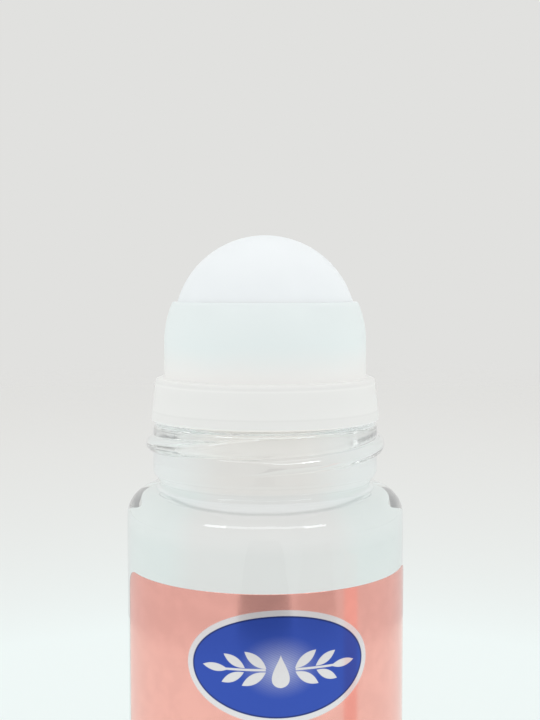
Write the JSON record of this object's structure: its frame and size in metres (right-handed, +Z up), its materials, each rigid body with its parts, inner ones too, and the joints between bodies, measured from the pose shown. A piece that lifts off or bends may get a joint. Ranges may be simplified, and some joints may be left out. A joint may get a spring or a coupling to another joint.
{
  "type": "roll on bottle",
  "caption": "Round clear glass roll-on bottle with a threaded neck, a press-fitted translucent ball housing, a hollow rolling ball, a wrapped front label and milky lotion inside.",
  "frame": {"origin": "middle of the bottle's foot, on the plane it stands on", "axes": "+Z up along the bottle's axis, the label faces -Y, +X to the right of someone facing the label"},
  "size_m": [0.0386, 0.0387, 0.0927],
  "materials": {
    "clear_glass": "polished, clear",
    "housing_plastic": "translucent white, satin",
    "ball_plastic": "polished white",
    "label_film": "printed film, satin",
    "lotion": "milky liquid"
  },
  "bodies": {
    "bottle": {"glass_bottle": "clear_glass", "ball_housing": "housing_plastic", "front_label": "label_film", "lotion_fill": "lotion"},
    "ball": {"roller_ball": "ball_plastic"}
  },
  "joints": [
    {"name": "ball_roll", "type": "hinge", "parent": "bottle", "child": "ball", "pos_m": [0, 0, 0.08], "axis": [1, 0, 0], "continuous": true}
  ]
}
